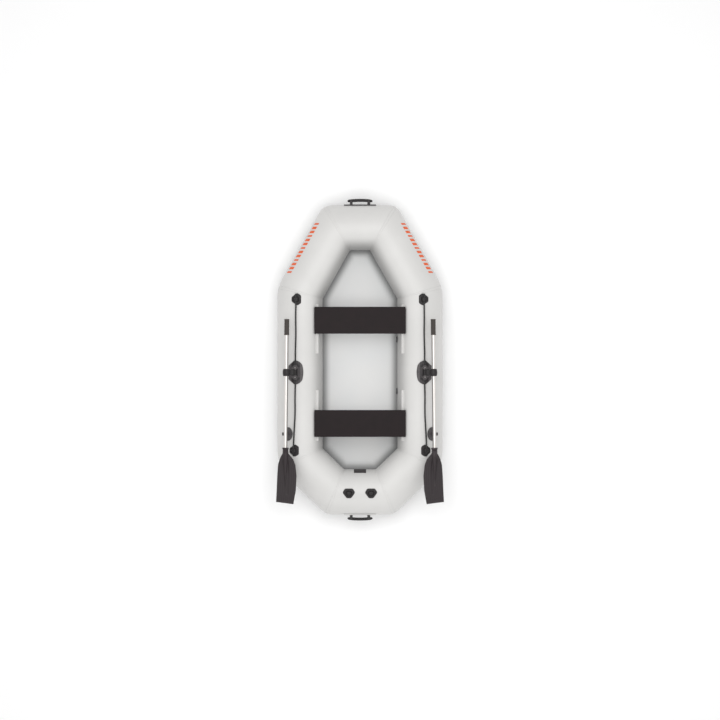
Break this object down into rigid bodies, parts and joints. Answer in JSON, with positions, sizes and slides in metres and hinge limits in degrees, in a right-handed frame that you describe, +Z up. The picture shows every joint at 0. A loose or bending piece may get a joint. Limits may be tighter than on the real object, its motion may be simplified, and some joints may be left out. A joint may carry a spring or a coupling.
{
  "type": "inflatable rowing boat",
  "caption": "Inflatable rowing boat: a ring of air tubes round a sheet floor, two sliding plywood seats, stowed oars in pivoting oarlocks, lifelines and carrying handles.",
  "frame": {"origin": "centre of the bounding box in plan, on the ground under the tubes", "axes": "+Z up, +Y towards the bow along the longest side, +X towards the boat's right side, across which it is a mirror image"},
  "size_m": [1.297, 2.496, 0.4366],
  "materials": {
    "hull_fabric": "satin",
    "floor_fabric": "satin",
    "moulded_fitting": "satin",
    "steel": "satin",
    "rope": "matte",
    "rail_plastic": "satin",
    "seat_plywood": "satin",
    "shaft_aluminium": "satin",
    "grip_rubber": "matte",
    "blade_plastic": "satin",
    "button_plastic": "satin",
    "valve_plastic": "satin"
  },
  "bodies": {
    "hull": {"aft_rope_eye_left": "moulded_fitting", "aft_rope_eye_right": "moulded_fitting", "aft_side_tube_left": "hull_fabric", "aft_side_tube_right": "hull_fabric", "bow_handle_grip": "moulded_fitting", "bow_handle_patch": "moulded_fitting", "bow_quarter_tube_left": "hull_fabric", "bow_quarter_tube_right": "hull_fabric", "bow_tube": "hull_fabric", "chamber_bulkheads": "hull_fabric", "data_plate": "moulded_fitting", "floor_flange": "floor_fabric", "floor_sheet": "floor_fabric", "fore_rope_eye_left": "moulded_fitting", "fore_rope_eye_right": "moulded_fitting", "fore_side_tube_left": "hull_fabric", "fore_side_tube_right": "hull_fabric", "front_seat_rails": "rail_plastic", "lifeline_knots": "rope", "lifeline_left": "rope", "lifeline_right": "rope", "oar_holder_left": "moulded_fitting", "oar_holder_right": "moulded_fitting", "oarlock_base_left": "moulded_fitting", "oarlock_base_right": "moulded_fitting", "oarlock_pin_left": "steel", "oarlock_pin_right": "steel", "rear_seat_rails": "rail_plastic", "seam_tapes": "hull_fabric", "stern_handle_grip": "moulded_fitting", "stern_handle_patch": "moulded_fitting", "stern_quarter_tube_left": "hull_fabric", "stern_quarter_tube_right": "hull_fabric", "stern_rope_eye_left": "moulded_fitting", "stern_rope_eye_right": "moulded_fitting", "stern_tube": "hull_fabric", "valve_bodies": "valve_plastic", "valve_springs": "steel"},
    "front_seat": {"front_seat_board": "seat_plywood", "front_seat_sliders": "rail_plastic"},
    "rear_seat": {"rear_seat_board": "seat_plywood", "rear_seat_sliders": "rail_plastic"},
    "left_oarlock": {"oarlock_arm_left": "moulded_fitting"},
    "left_oar": {"oar_collar_left": "moulded_fitting", "swivel_bolt_left": "steel", "oar_shaft_left": "shaft_aluminium", "oar_grip_left": "grip_rubber", "oar_blade_left": "blade_plastic"},
    "left_blade_button": {"blade_button_left": "button_plastic"},
    "right_oarlock": {"oarlock_arm_right": "moulded_fitting"},
    "right_oar": {"oar_collar_right": "moulded_fitting", "swivel_bolt_right": "steel", "oar_shaft_right": "shaft_aluminium", "oar_grip_right": "grip_rubber", "oar_blade_right": "blade_plastic"},
    "right_blade_button": {"blade_button_right": "button_plastic"},
    "fore_valve_cap": {"valve_cap_fore": "valve_plastic"},
    "fore_valve_poppet": {"valve_poppet_fore": "valve_plastic"},
    "aft_valve_cap": {"valve_cap_aft": "valve_plastic"},
    "aft_valve_poppet": {"valve_poppet_aft": "valve_plastic"}
  },
  "joints": [
    {"name": "front_seat_slide", "type": "slide", "parent": "hull", "child": "front_seat", "axis": [0, 1, 0], "range_m": [-0.16, 0.025]},
    {"name": "rear_seat_slide", "type": "slide", "parent": "hull", "child": "rear_seat", "axis": [0, 1, 0], "range_m": [-0.035, 0.16]},
    {"name": "left_oar_dip", "type": "hinge", "parent": "hull", "child": "left_oarlock", "pos_m": [-0.50201, -0.0985, 0.37866], "axis": [0, -1, 0], "range_deg": [-20, 20]},
    {"name": "left_oar_swing", "type": "hinge", "parent": "left_oarlock", "child": "left_oar", "pos_m": [-0.569, -0.0985, 0.38], "axis": [0, 0, -1], "range_deg": [0, 160]},
    {"name": "left_button_press", "type": "slide", "parent": "left_oar", "child": "left_blade_button", "axis": [0, 0, -1], "range_m": [0, 0.004], "stiffness_N_per_m": 800, "springref_m": -0.003},
    {"name": "right_oar_dip", "type": "hinge", "parent": "hull", "child": "right_oarlock", "pos_m": [0.50201, -0.0985, 0.37866], "axis": [0, 1, 0], "range_deg": [-20, 20]},
    {"name": "right_oar_swing", "type": "hinge", "parent": "right_oarlock", "child": "right_oar", "pos_m": [0.569, -0.0985, 0.38], "axis": [0, 0, 1], "range_deg": [0, 160]},
    {"name": "right_button_press", "type": "slide", "parent": "right_oar", "child": "right_blade_button", "axis": [0, 0, -1], "range_m": [0, 0.004], "stiffness_N_per_m": 800, "springref_m": -0.003},
    {"name": "fore_cap_twist", "type": "hinge", "parent": "hull", "child": "fore_valve_cap", "pos_m": [0.283, 0.157, 0.175], "axis": [-1, 0, 0], "range_deg": [0, 90]},
    {"name": "fore_poppet_press", "type": "slide", "parent": "hull", "child": "fore_valve_poppet", "axis": [1, 0, 0], "range_m": [0, 0.004], "stiffness_N_per_m": 600, "springref_m": -0.003, "deforming": ["valve_springs"]},
    {"name": "aft_cap_twist", "type": "hinge", "parent": "hull", "child": "aft_valve_cap", "pos_m": [0.283, -0.244, 0.175], "axis": [-1, 0, 0], "range_deg": [0, 90]},
    {"name": "aft_poppet_press", "type": "slide", "parent": "hull", "child": "aft_valve_poppet", "axis": [1, 0, 0], "range_m": [0, 0.004], "stiffness_N_per_m": 600, "springref_m": -0.003, "deforming": ["valve_springs"]}
  ]
}
